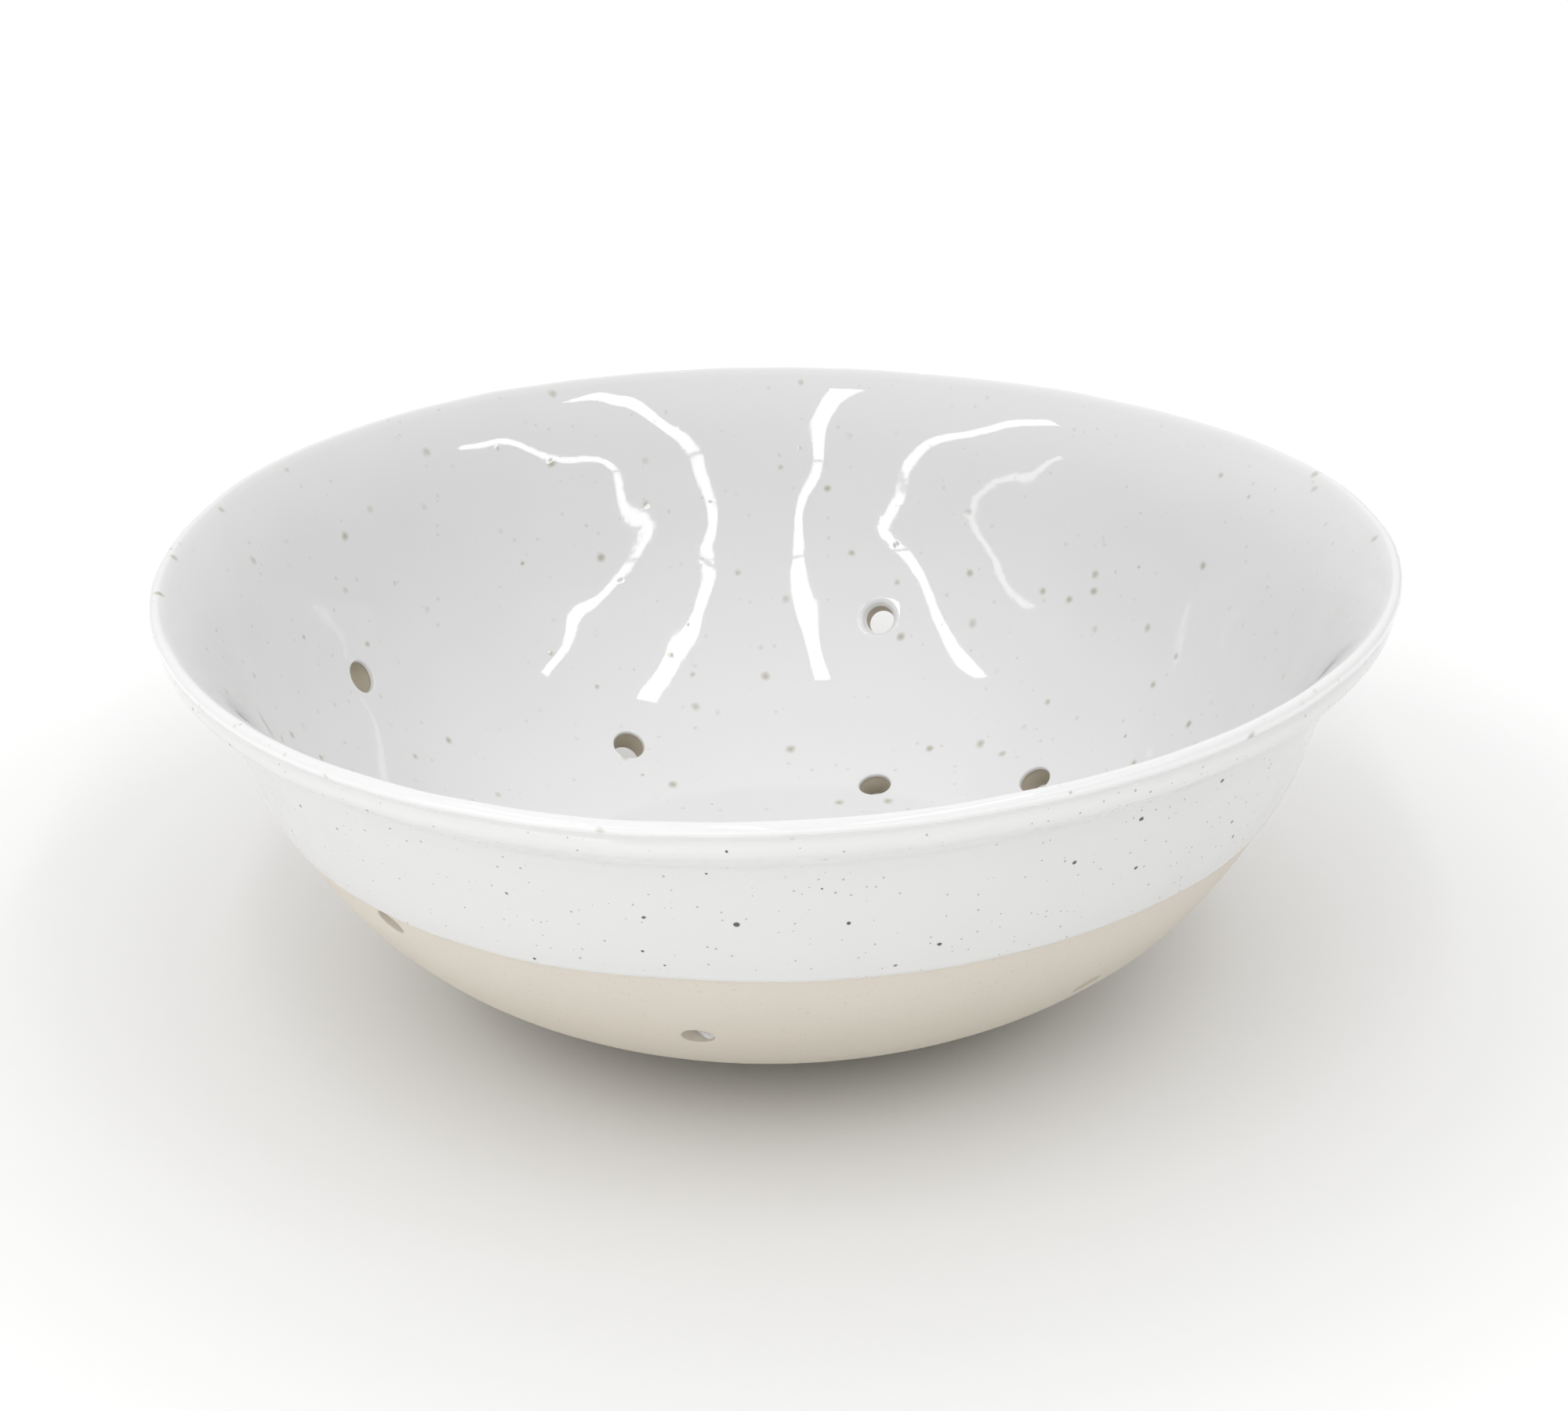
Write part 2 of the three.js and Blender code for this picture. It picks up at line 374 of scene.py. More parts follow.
@dataclass(frozen=True)
class DrainHole:
    """Hole punched square to the clay.

    Attributes:
        bearing: Direction from the axis, in degrees.
        mouth: Station of the clay's outside, travelled upwards, in the middle of the hole.
        depth: Thickness of the clay there.
        lip: Round on which the liner glaze turns into the hole.
        run: How far the glaze ran into the hole, at its shortest and its longest.
        drip: Direction round the hole in which it ran longest, in degrees.
        film: Thickness of the glaze on the hole's wall, at its thinnest and where it ran longest.
        lumps: How uneven the glaze on the hole's wall is, as a share of its thickness.
        bore_shade: How much painted shade darkens the hole's wall.
        gather: How narrowly the glaze gathered where it ran longest.
        lump_turns: Lumps round the hole, and how far they twist on the way down it.
    """

    bearing: float
    mouth: Station
    depth: float
    lip: float = 0.0005
    run: tuple = (0.0003, 0.0006)
    drip: float = 270.0
    film: tuple = (0.0003, 0.0003)
    lumps: float = 0.0
    bore_shade: float = 1.0
    gather: float = 1.5
    lump_turns: tuple = (5, 7)

    def frame(self) -> Matrix:
        """Axes of the hole: round the bowl, up the wall, and square into the bowl."""
        a, h = math.radians(self.bearing), self.mouth.heading
        out = Vector((math.cos(a), math.sin(a), 0))
        round_ = Vector((math.sin(a), -math.cos(a), 0))
        up = out * math.cos(h) + Vector((0, 0, math.sin(h)))
        into = out * -math.sin(h) + Vector((0, 0, math.cos(h)))
        place = out * self.mouth.r + Vector((0, 0, self.mouth.z))
        return Matrix.Translation(place) @ Matrix((round_, up, into)).transposed().to_4x4()

    def glaze(self, way: float) -> tuple:
        """How far the glaze ran in one direction round the hole, and how thick it lies there."""
        share = (0.5 + 0.5 * math.cos(way - math.radians(self.drip))) ** self.gather
        return tuple(low + (high - low) * share for low, high in (self.run, self.film))

    def covers(self, point: Vector, half: float) -> bool:
        """Whether a point of a skin lies in the square patch round the hole.

        Args:
            point: Middle of a face.
            half: Half the width of the patch.

        Returns:
            True inside the patch.
        """
        swing = math.atan2(point.y, point.x) - math.radians(self.bearing)
        swing = (swing + math.pi) % TAU - math.pi
        if abs(swing) * self.mouth.r > half:
            return False
        c, s = math.cos(self.mouth.heading), math.sin(self.mouth.heading)
        r, z = math.hypot(point.x, point.y) - self.mouth.r, point.z - self.mouth.z
        return abs(r * c + z * s) < half


class Skin:
    """One turned face of a piece, kept together with the exact line that it was turned on.

    Attributes:
        steps: Faces round the bowl.
        doublings: How often the spun wedge is doubled to go all round.
        sectors: Slices of the bowl in which faces are looked up.
        rings: New rings of points between a mouth and the rim of its patch.
    """

    steps: int = 384
    doublings: int = 3
    sectors: int = 64
    rings: int = 2

    def __init__(self, rows: Sequence, line: Sequence) -> None:
        """Keeps the section of the skin.

        Args:
            rows: Section points that become the rows of faces.
            line: The same section in steps fine enough to settle new points on.
        """
        self.rows = list(rows)
        self.line = list(line)
        self.near: dict = {}
        self.tree = KDTree(len(self.line))
        for i, p in enumerate(self.line):
            self.tree.insert(p, i)
        self.tree.balance()

    def spin(self, bm: bmesh.types.BMesh) -> None:
        """Turns the section round the axis: one wedge is spun, and doubled until it goes all round."""
        old = set(bm.faces)
        turned = bmesh.new()
        verts = [turned.verts.new(p) for p in self.rows]
        edges = [turned.edges.new(pair) for pair in zip(verts, verts[1:])]
        wedges = 2**self.doublings
        bmesh.ops.spin(
            turned, geom=verts + edges, cent=(0, 0, 0), axis=(0, 0, 1), dvec=(0, 0, 0),
            angle=TAU / wedges, steps=self.steps // wedges, use_merge=False, use_duplicate=False,
        )
        for i in range(self.doublings):
            whole = turned.verts[:] + turned.edges[:] + turned.faces[:]
            copy = bmesh.ops.duplicate(turned, geom=whole)["geom"]
            swing = Matrix.Rotation(TAU / wedges * 2**i, 3, "Z")
            moved = [v for v in copy if isinstance(v, bmesh.types.BMVert)]
            bmesh.ops.rotate(turned, verts=moved, cent=(0, 0, 0), matrix=swing)
        bmesh.ops.remove_doubles(turned, verts=turned.verts[:], dist=WELD)
        part = bpy.data.meshes.new("turned_skin")
        turned.to_mesh(part)
        turned.free()
        bm.from_mesh(part)
        bpy.data.meshes.remove(part)
        for face in set(bm.faces) - old:
            middle = face.calc_center_median()
            self.near.setdefault(self.sector(math.atan2(middle.y, middle.x)), []).append((face, middle))

    def sector(self, bearing: float) -> int:
        """Number of the slice of the bowl that a bearing falls in."""
        return int(bearing / TAU * self.sectors) % self.sectors

    def settle(self, point: Vector) -> Vector:
        """Nearest point of the exact skin, at the same bearing."""
        r = math.hypot(point.x, point.y)
        flat = Vector((r, 0, point.z))
        _, i, _ = self.tree.find(flat)
        best = None
        for a, b in ((i - 1, i), (i, i + 1)):
            if a < 0 or b >= len(self.line):
                continue
            along = self.line[b] - self.line[a]
            t = (flat - self.line[a]).dot(along) / max(along.length_squared, 1e-18)
            place = self.line[a] + along * min(1, max(0, t))
            if best is None or (place - flat).length < (best - flat).length:
                best = place
        return Vector((point.x * best.x / r, point.y * best.x / r, best.z))

    def patch(self, hole: DrainHole, half: float) -> list:
        """Faces in the square patch round a hole."""
        reach = math.ceil(half / hole.mouth.r / TAU * self.sectors) + 1
        middle = self.sector(math.radians(hole.bearing))
        slices = {(middle + i) % self.sectors for i in range(-reach, reach + 1)}
        return [f for i in slices for f, place in self.near.get(i, []) if hole.covers(place, half)]

    def open_mouths(self, bm: bmesh.types.BMesh, radii: dict, lift: Optional[float], half: float) -> dict:
        """Takes a patch out of the skin round each hole and fills it up to a round mouth.

        Each mouth is joined to the rim of its patch while it is held above it, so that the two run the
        same way round, and then set down.

        Args:
            bm: Mesh that holds the skin.
            radii: Radius of each hole's mouth.
            lift: Height of the skin over the clay's inside, or None for the clay's outside.
            half: Half the width of a patch.

        Returns:
            For each hole, the edges of its mouth.
        """
        rims, doomed = {}, []
        for hole in radii:
            block = self.patch(hole, half)
            inside = set(block)
            rims[hole] = [e for f in block for e in f.edges if sum(g in inside for g in e.link_faces) == 1]
            doomed += block
        bmesh.ops.delete(bm, geom=doomed, context="FACES")
        mouths, spokes = {}, []
        for hole, rim in rims.items():
            level = 0 if lift is None else hole.depth + lift
            place = hole.frame() @ Matrix.Translation((0, 0, level + half))
            ring = bmesh.ops.create_circle(bm, segments=len(rim), radius=radii[hole], matrix=place)["verts"]
            mouths[hole] = list({e for v in ring for e in v.link_edges})
            bridge = bmesh.ops.bridge_loops(bm, edges=rim + mouths[hole])["faces"]
            edges = {e for f in bridge for e in f.edges}
            round_ = set(ring)
            spokes += [e for e in edges if (e.verts[0] in round_) != (e.verts[1] in round_)]
            bmesh.ops.translate(bm, verts=ring, vec=place.to_3x3() @ Vector((0, 0, -half)))
            for v in ring:
                v.co = self.settle(v.co)
        cut = bmesh.ops.subdivide_edges(bm, edges=spokes, cuts=self.rings, use_grid_fill=True)
        for v in {v for v in cut["geom_inner"] if isinstance(v, bmesh.types.BMVert)}:
            v.co = self.settle(v.co)
        return mouths


def roll_in(bm: bmesh.types.BMesh, mouths: dict, profile: Iterable) -> dict:
    """Draws the edges of the mouths into their holes, ring by ring.

    Args:
        bm: Mesh that holds the mouths.
        mouths: For each hole, the edges of its mouth.
        profile: For each ring, a function from the hole and the direction round it to the ring's radius
            and how much deeper it lies than the mouth.

    Returns:
        For each hole, the edges of the last ring.
    """
    place = {hole: hole.frame() for hole in mouths}
    back = {hole: m.inverted() for hole, m in place.items()}
    edges = [e for rim in mouths.values() for e in rim]
    start = {v: (hole, (back[hole] @ v.co).z) for hole, rim in mouths.items() for e in rim for v in e.verts}
    for ring in profile:
        made = bmesh.ops.extrude_edge_only(bm, edges=edges)["geom"]
        fresh = {v for v in made if isinstance(v, bmesh.types.BMVert)}
        edges = [e for e in made if isinstance(e, bmesh.types.BMEdge) and all(v in fresh for v in e.verts)]
        moved = {}
        for v in fresh:
            hole, level = next(start[w] for w in (e.other_vert(v) for e in v.link_edges) if w in start)
            local = back[hole] @ v.co
            way = math.atan2(local.y, local.x)
            radius, drop = ring(hole, way)
            v.co = place[hole] @ Vector((radius * math.cos(way), radius * math.sin(way), level - drop))
            moved[v] = hole, level
        start = moved
    ends: dict = {hole: [] for hole in mouths}
    for e in edges:
        ends[start[e.verts[0]][0]].append(e)
    return ends


def rounded(bore: Callable, lip: Callable, steps: Sequence) -> list:
    """Rings of a rounded edge that turns into a hole.

    Args:
        bore: Function from the hole and the direction round it to the radius at the end of the round.
        lip: Function from the hole to the radius of the round, below zero where the hole opens upwards.
        steps: Angles of the rings in degrees, 90 at the end of the round.

    Returns:
        One function for each ring, as roll_in takes them.
    """
    def ring(angle: float) -> Callable:
        """Ring at an angle of the round."""
        across, down = 1 - math.sin(angle), 1 - math.cos(angle)
        return lambda hole, way: (bore(hole, way) + abs(lip(hole)) * across, lip(hole) * down)

    return [ring(math.radians(step)) for step in steps]


@dataclass(frozen=True)
class Kiln:
    """How the firing moved the ware.

    Attributes:
        height: Height of the rim.
        sway: Rise and fall of the rim, twice round, as sine and cosine parts.
        grip: How the sway grows with height.
        ripples: Unevenness left by the potter's hands, each a size and the length that it runs over.
        still: Height below which the ware kept its shape.
        shift: Shift of the unevenness.
        seed: Seed of the unevenness.
    """

    height: float = 0.090
    sway: tuple = (-0.00126, 0.00059)
    grip: float = 1.8
    ripples: tuple = ((0.00022, 0.034), (0.00020, 0.014))
    still: float = 0.012
    shift: tuple = (3.1, 7.7, 1.3)
    seed: int = 5

    def fire(self, bm: bmesh.types.BMesh) -> None:
        """Moves every point of a piece as the kiln moved it."""
        noise.seed_set(self.seed)
        for v in bm.verts:
            v.co = self.moved(v.co)

    def moved(self, p: Vector) -> Vector:
        """Place of a point after the firing."""
        bearing = math.atan2(p.y, p.x)
        share = max(0.0, p.z / self.height) ** self.grip
        sway = self.sway[0] * math.sin(2 * bearing) + self.sway[1] * math.cos(2 * bearing)
        hold = min(1.0, max(0.0, (p.z - self.still) / self.still))
        shift = Vector(self.shift)
        waves = (noise.noise_vector(p / length + shift) * size for size, length in self.ripples)
        return p + Vector((0, 0, share * sway)) + sum(waves, Vector()) * hold


class Shade:
    """Shader socket that takes part in Python arithmetic, each step adding a Math node."""

    def __init__(self, bench: "Bench", socket: bpy.types.NodeSocket) -> None:
        """Wraps a socket of a bench's node tree."""
        self.bench = bench
        self.socket = socket

    def _maths(self, operation: str, *values: "Amount") -> "Shade":
        """Math node on this bench."""
        return self.bench.node("ShaderNodeMath", {"operation": operation}, dict(enumerate(values)))

    def __add__(self, other: "Amount") -> "Shade":
        """Sum."""
        return self._maths("ADD", self, other)

    __radd__ = __add__

    def __mul__(self, other: "Amount") -> "Shade":
        """Product."""
        return self._maths("MULTIPLY", self, other)

    __rmul__ = __mul__

    def __sub__(self, other: "Amount") -> "Shade":
        """Difference."""
        return self._maths("SUBTRACT", self, other)

    def __rsub__(self, other: "Amount") -> "Shade":
        """Difference from a number."""
        return self._maths("SUBTRACT", other, self)

    def at_most(self, other: "Amount") -> "Shade":
        """The smaller of two values."""
        return self._maths("MINIMUM", self, other)

    def at_least(self, other: "Amount") -> "Shade":
        """The larger of two values."""
        return self._maths("MAXIMUM", self, other)

    def ease(self, start: "Amount", end: "Amount", low: float = 0.0, high: float = 1.0) -> "Shade":
        """Smooth step from one value to another while this goes from start to end."""
        return self.bench.node(
            "ShaderNodeMapRange", {"interpolation_type": "SMOOTHSTEP", "clamp": True},
            {"Value": self, "From Min": start, "From Max": end, "To Min": low, "To Max": high},
        )


Amount = Union[Shade, float, int, tuple]


class Bench:
    """Node tree under construction."""

    def __init__(self, owner: Union[bpy.types.Material, bpy.types.World], coordinates: str) -> None:
        """Clears a node tree and starts it with the coordinates that its patterns read.

        Args:
            owner: Material or world that the tree belongs to.
            coordinates: Output of the coordinate node.
        """
        owner.use_nodes = True
        self.owner = owner
        self.tree = owner.node_tree
        self.tree.nodes.clear()
        self.place = self.node("ShaderNodeTexCoord", output=coordinates)

    @classmethod
    def material(cls, name: str) -> "Bench":
        """Starts a new material, on the piece's own coordinates."""
        return cls(bpy.data.materials.new(name), "Object")

    def node(self, kind: str, settings: Optional[dict] = None, sockets: Optional[dict] = None,
             output: Union[int, str] = 0) -> Shade:
        """Adds a node.

        Args:
            kind: Type of the node.
            settings: Its own settings, set before its sockets.
            sockets: Values or links for its inputs, by name or number.
            output: Name or number of the output that is wanted.

        Returns:
            That output.
        """
        made = self.tree.nodes.new(kind)
        for name, value in (settings or {}).items():
            setattr(made, name, value)
        for name, value in (sockets or {}).items():
            if isinstance(value, Shade):
                self.tree.links.new(value.socket, made.inputs[name])
            else:
                made.inputs[name].default_value = value
        return Shade(self, made.outputs[output])

    def blend(self, share: Amount, first: Amount, second: Amount) -> Shade:
        """Colour between two others."""
        mix = {"data_type": "RGBA", "blend_type": "MIX"}
        return self.node("ShaderNodeMix", mix, {0: share, 6: first, 7: second}, output=2)

    def moved(self, shift: tuple) -> Shade:
        """Coordinates moved by a shift."""
        return self.node("ShaderNodeMapping", {}, {"Vector": self.place, "Location": shift})

    def cloud(self, size: float, detail: float = 2.0, rough: float = 0.5, shift: float = 0.0) -> Shade:
        """Soft noise whose patches are about the given size."""
        return self.node(
            "ShaderNodeTexNoise", {"noise_dimensions": "3D"},
            {"Vector": self.moved((shift,) * 3), "Scale": 1 / size, "Detail": detail, "Roughness": rough},
        )

    def radius(self) -> Shade:
        """Distance from the bowl's axis."""
        flat = self.node("ShaderNodeVectorMath", {"operation": "MULTIPLY"}, {0: self.place, 1: (1, 1, 0)})
        return self.node("ShaderNodeVectorMath", {"operation": "LENGTH"}, {0: flat}, output="Value")

    def surface(self, colour: Shade, rough: Amount, height: Shade, settings: dict) -> bpy.types.Material:
        """Finishes a material.

        Args:
            colour: Base colour.
            rough: Roughness.
            height: Height of the surface's relief.
            settings: Constant values of the shader's other sockets.

        Returns:
            The material.
        """
        normal = self.node("ShaderNodeBump", {}, {"Height": height, "Distance": 1.0, "Strength": 1.0})
        sockets = {"Base Color": colour, "Roughness": rough, "Normal": normal, **settings}
        self.end("ShaderNodeOutputMaterial", self.node("ShaderNodeBsdfPrincipled", {}, sockets))
        return self.owner

    def end(self, kind: str, shader: Shade) -> None:
        """Joins a shader to the tree's output."""
        self.tree.links.new(shader.socket, self.tree.nodes.new(kind).inputs["Surface"])


@dataclass(frozen=True)
class GlazeFinish:
    """Glossy speckled glaze.

    Attributes:
        name: Name of the material.
        pale: Colour of the glaze where it lies thick.
        shadow: Colour of the glaze where it lies thin.
        crest: Brighter colour painted on the top of the rim bead as a highlight.
        speck: Colour of the iron specks.
        speck_gap: Distance between the large specks' seeds.
        speck_size: Radius of the large specks.
        speck_soft: How much of a speck's radius melts into the glaze.
        dust_gap: Distance between the fine specks' seeds.
        dust_size: Radius of the fine specks.
        dust_strength: How dark the fine specks are.
        gloss: Roughness of the surface.
        seed: Shift of every pattern.
        drift_size: Size of the patches in which the glaze lies thick or thin.
        haze: How much the roughness changes.
        haze_size: Size of the patches in which it changes.
        peel: Height of the soft unevenness of the surface.
        peel_size: Size of that unevenness.
        speck_rise: How far a large speck stands up.
        ragged: How uneven the outline of a speck is, as a share of its radius.
        ior: Refractive index of the glaze.
    """

    name: str
    pale: tuple
    shadow: tuple
    crest: tuple
    speck: tuple
    speck_gap: float
    speck_size: float
    speck_soft: float
    dust_gap: float
    dust_size: float
    dust_strength: float
    gloss: float
    seed: float
    drift_size: float = 0.045
    haze: float = 0.02
    haze_size: float = 0.012
    peel: float = 0.00001
    peel_size: float = 0.0035
    speck_rise: float = 0.00002
    ragged: float = 0.5
    ior: float = 1.55

    def specks(self, bench: Bench, gap: float, size: float, shift: float) -> Shade:
        """Mask of specks scattered through the glaze.

        Args:
            bench: Material under construction.
            gap: Distance between seeds.
            size: Largest radius of a speck.
            shift: Shift of the pattern.

        Returns:
            1 in the middle of a speck and 0 between specks.
        """
        cell = {"voronoi_dimensions": "3D", "feature": "F1", "distance": "EUCLIDEAN"}
        sockets = {"Vector": bench.moved((shift, 2 * shift, 0)), "Scale": 1 / gap, "Randomness": 1.0}
        far = bench.node("ShaderNodeTexVoronoi", cell, sockets, output="Distance") * gap
        tint = bench.node("ShaderNodeTexVoronoi", cell, sockets, output="Color")
        lot = bench.node("ShaderNodeSeparateColor", {}, {"Color": tint}, output=0)
        reach = (lot - 0.5).at_least(0.0) * (2 * size)
        uneven = far + (bench.cloud(size * 1.2, 1.0, shift=shift) - 0.5) * (size * self.ragged)
        return uneven.ease(reach, reach * (1 - self.speck_soft))

    def build(self) -> bpy.types.Material:
        """Makes the material."""
        bench = Bench.material(self.name)
        drift = bench.cloud(self.drift_size, shift=self.seed)
        colour = bench.blend(drift, (*self.pale, 1), (*self.shadow, 1))
        # Painted highlight: the top of the rim bead takes a brighter colour, as though lit from overhead.
        top = bench.node("ShaderNodeAttribute", {"attribute_name": CREST_HIGHLIGHT}, output="Fac")
        colour = bench.blend(top, colour, (*self.crest, 1))
        large = self.specks(bench, self.speck_gap, self.speck_size, self.seed + 0.3)
        fine = self.specks(bench, self.dust_gap, self.dust_size, self.seed + 0.7)
        mask = large.at_least(fine * self.dust_strength)
        colour = bench.blend(mask, colour, (*self.speck, 1))
        rough = self.gloss + bench.cloud(self.haze_size, shift=self.seed + 1.1) * self.haze
        peel = bench.cloud(self.peel_size, shift=self.seed + 1.7)
        return bench.surface(colour, rough, peel * self.peel + large * self.speck_rise, {"IOR": self.ior})


@dataclass(frozen=True)
class ClayFinish:
    """Bare stoneware, fine grained and satin, pinker where the glaze ends, with painted shade in the drain
    holes.

    Attributes:
        name: Name of the material.
        warm: Colour near the dip line.
        plain: Colour of the belly.
        grog: Colour of the fine dark grains.
        bore_shade: Darker colour painted on the drain holes' walls as shade.
        blush: Heights between which the colour goes from plain to warm.
        drift: How much the blush wanders.
        drift_size: Size of the patches in which it wanders.
        grain_size: Size of the grains.
        grain_share: Values of the noise between which a grain shows.
        grain_tint: How far a grain takes its own colour.
        rough: Roughness of the surface.
        rough_size: Size of the patches in which the roughness changes.
        rough_swing: How much it changes.
        relief: Height of the fine relief.
        relief_size: Size of the fine relief.
        ior: Refractive index.
        sheen: Specular level, low because the clay is unglazed.
    """

    name: str = "bare_stoneware"
    warm: tuple = (0.765, 0.705, 0.625)
    plain: tuple = (0.70, 0.65, 0.56)
    grog: tuple = (0.42, 0.37, 0.29)
    bore_shade: tuple = (0.50, 0.45, 0.36)
    blush: tuple = (0.024, 0.047)
    drift: float = 0.5
    drift_size: float = 0.03
    grain_size: float = 0.0009
    grain_share: tuple = (0.62, 0.75)
    grain_tint: float = 0.35
    rough: float = 0.52
    rough_size: float = 0.004
    rough_swing: float = 0.16
    relief: float = 0.00006
    relief_size: float = 0.0011
    ior: float = 1.45
    sheen: float = 0.35

    def build(self) -> bpy.types.Material:
        """Makes the material."""
        bench = Bench.material(self.name)
        height = bench.node("ShaderNodeSeparateXYZ", {}, {"Vector": bench.place}, output="Z")
        drift = (bench.cloud(self.drift_size, 3.0) - 0.5) * self.drift
        share = (height.ease(*self.blush) + drift).at_least(0.0).at_most(1.0)
        colour = bench.blend(share, (*self.plain, 1), (*self.warm, 1))
        # Painted shade: the walls of the drain holes are darkened as though in shadow.
        bore = bench.node("ShaderNodeAttribute", {"attribute_name": BORE_SHADE}, output="Fac")
        colour = bench.blend(bore, colour, (*self.bore_shade, 1))
        grain = bench.cloud(self.grain_size, 3.0, 0.6, shift=0.4)
        spots = grain.ease(*self.grain_share) * self.grain_tint
        colour = bench.blend(spots, colour, (*self.grog, 1))
        rough = self.rough + bench.cloud(self.rough_size, shift=0.9) * self.rough_swing
        rise = bench.cloud(self.relief_size, 4.0, 0.6, shift=1.4) * self.relief
        return bench.surface(colour, rough, rise, {"IOR": self.ior, "Specular IOR Level": self.sheen})


# The liner's crest colour paints a highlight on the top of the rim bead.
LINER_FINISH = GlazeFinish(
    name="liner_glaze_finish",
    pale=(0.82, 0.82, 0.82), shadow=(0.80, 0.80, 0.798), crest=(0.89, 0.89, 0.887),
    speck=(0.50, 0.48, 0.40), speck_gap=0.0054, speck_size=0.0017, speck_soft=1.0, dust_gap=0.0027,
    dust_size=0.0008, dust_strength=0.4, gloss=0.03, seed=0.0,
)
DIP_FINISH = GlazeFinish(
    name="dip_glaze_finish",
    pale=(0.82, 0.82, 0.817), shadow=(0.80, 0.803, 0.792), crest=(0.82, 0.82, 0.817),
    speck=(0.10, 0.095, 0.08), speck_gap=0.0040, speck_size=0.0007, speck_soft=0.4, dust_gap=0.0014,
    dust_size=0.00034, dust_strength=0.45, gloss=0.04, seed=5.0,
)


@dataclass
class FiredPiece:
    """Piece turned from skins, pierced and fired.

    Attributes:
        name: Name of the piece.
        node: Solid that it stands for.
        slot: Material slot of the record; not used.
        section: Section of the clay that it follows.
        holes: Drain holes.
        kiln: How the firing moved it.
        spacing: Largest distance between rows of faces.
        hidden: How much wider the rows are on a face that another piece covers.
        fine: Step of the exact section that new points settle on.
        patch: Half the width of the patch that is worked round a hole.
        crease: Angle above which an edge stays crisp, in degrees.
        soft_shade: How far the edge of a shadow is eased over the facets.
    """

    name: str
    node: Node
    slot: Slot
    section: ClaySection
    holes: Sequence
    kiln: Kiln
    spacing: float = 0.0020
    hidden: float = 2.0
    fine: float = 0.0002
    patch: float = 0.0071
    crease: float = 45.0
    soft_shade: float = 0.2

    def skin(self, section: Callable, widen: float = 1.0) -> Skin:
        """Turned face on a section, with its rows set wider by a factor."""
        return Skin(section(self.spacing * widen), section(self.fine))

    def skins(self) -> list:
        """Turned faces of the piece."""
        raise NotImplementedError

    def pierce(self, bm: bmesh.types.BMesh, skins: Sequence) -> None:
        """Opens the drain holes."""

    def trim(self, bm: bmesh.types.BMesh) -> None:
        """Works the edges before the firing."""

    def build(self) -> bpy.types.Object:
        """Turns, pierces and fires the piece.

        Returns:
            Its object, at the origin.
        """
        bm = bmesh.new()
        skins = self.skins()
        for skin in skins:
            skin.spin(bm)
        self.pierce(bm, skins)
        self.trim(bm)
        bmesh.ops.remove_doubles(bm, verts=bm.verts[:], dist=WELD)
        bmesh.ops.recalc_face_normals(bm, faces=bm.faces[:])
        self.kiln.fire(bm)
        mesh = bpy.data.meshes.new(self.name)
        loose = sum(not (e.is_manifold and e.is_contiguous) for e in bm.edges)
        if loose:
            LOG.warning("%s: %d open or turned edges", self.name, loose)
        bm.to_mesh(mesh)
        bm.free()
        mesh.shade_smooth()
        mesh.set_sharp_from_angle(angle=math.radians(self.crease))
        piece = bpy.data.objects.new(self.name, mesh)
        piece.cycles.shadow_terminator_geometry_offset = self.soft_shade
        piece.cycles.shadow_terminator_offset = self.soft_shade
        bpy.context.scene.collection.objects.link(piece)
        return piece

    def dress(self, piece: bpy.types.Object, finish: Union[GlazeFinish, ClayFinish]) -> None:
        """Gives the piece its finish and its place in the frame.

        Args:
            piece: Object of the piece.
            finish: Finish to make.
        """
        piece.data.materials.append(finish.build())
        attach(piece, BODY)
        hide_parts(self.node.value)


def points(stations: Sequence, lift: float = 0.0) -> list:
    """Section points of stations, lifted off the clay."""
    return [s.off(lift) for s in stations]


@dataclass
class ClayBowl(FiredPiece):
    """Bare clay bowl with its lip, belly, foot ring and drain holes.

    Attributes:
        soft_steps: Angles of the rings on a hole's softened edge, in degrees.
    """

    soft_steps: tuple = (22.5, 45, 67.5, 90)

    def inside(self, spacing: float) -> list:
        """Section of the inside, from the centre hole's edge over the bead to the groove."""
        s = self.section
        trail = s.floor_inside(s.hole_radius + s.mouth_break, spacing) + s.wall_inside(spacing)[1:]
        edge = Vector((s.hole_radius, 0, s.floor - s.mouth_break))
        return [edge] + points(trail + s.bead(spacing))

    def outside(self, spacing: float) -> list:
        """Section of the outside, from the groove down to the centre hole and through it."""
        s = self.section
        trail = points(s.band(spacing) + s.bare(spacing)[1:])
        return trail + [Vector((s.hole_radius, 0, s.floor - s.mouth_break))]

    def skins(self) -> list:
        """Inside and outside of the clay."""
        return [self.skin(self.inside, self.hidden), self.skin(self.outside)]

    def pierce(self, bm: bmesh.types.BMesh, skins: Sequence) -> None:
        """Opens each hole on both faces and joins the two mouths by the hole's wall."""
        s = self.section
        inner, outer = skins
        soft = rounded(lambda hole, way: s.exit_radius, lambda hole: -s.mouth_round, self.soft_steps)
        wide = dict.fromkeys(self.holes, s.exit_radius + s.mouth_round)
        low = outer.open_mouths(bm, wide, None, self.patch)
        low = roll_in(bm, low, soft)
        wide = dict.fromkeys(self.holes, s.hole_radius + s.mouth_break)
        top = inner.open_mouths(bm, wide, 0, self.patch)
        top = roll_in(bm, top, [lambda hole, way: (s.hole_radius, s.mouth_break)])
        # Each hole's wall is marked with how much painted shade it gets.
        mark = bm.verts.layers.float.new(BORE_SHADE)
        for hole in self.holes:
            bmesh.ops.bridge_loops(bm, edges=low[hole] + top[hole])
            for v in {v for e in low[hole] + top[hole] for v in e.verts}:
                v[mark] = hole.bore_shade


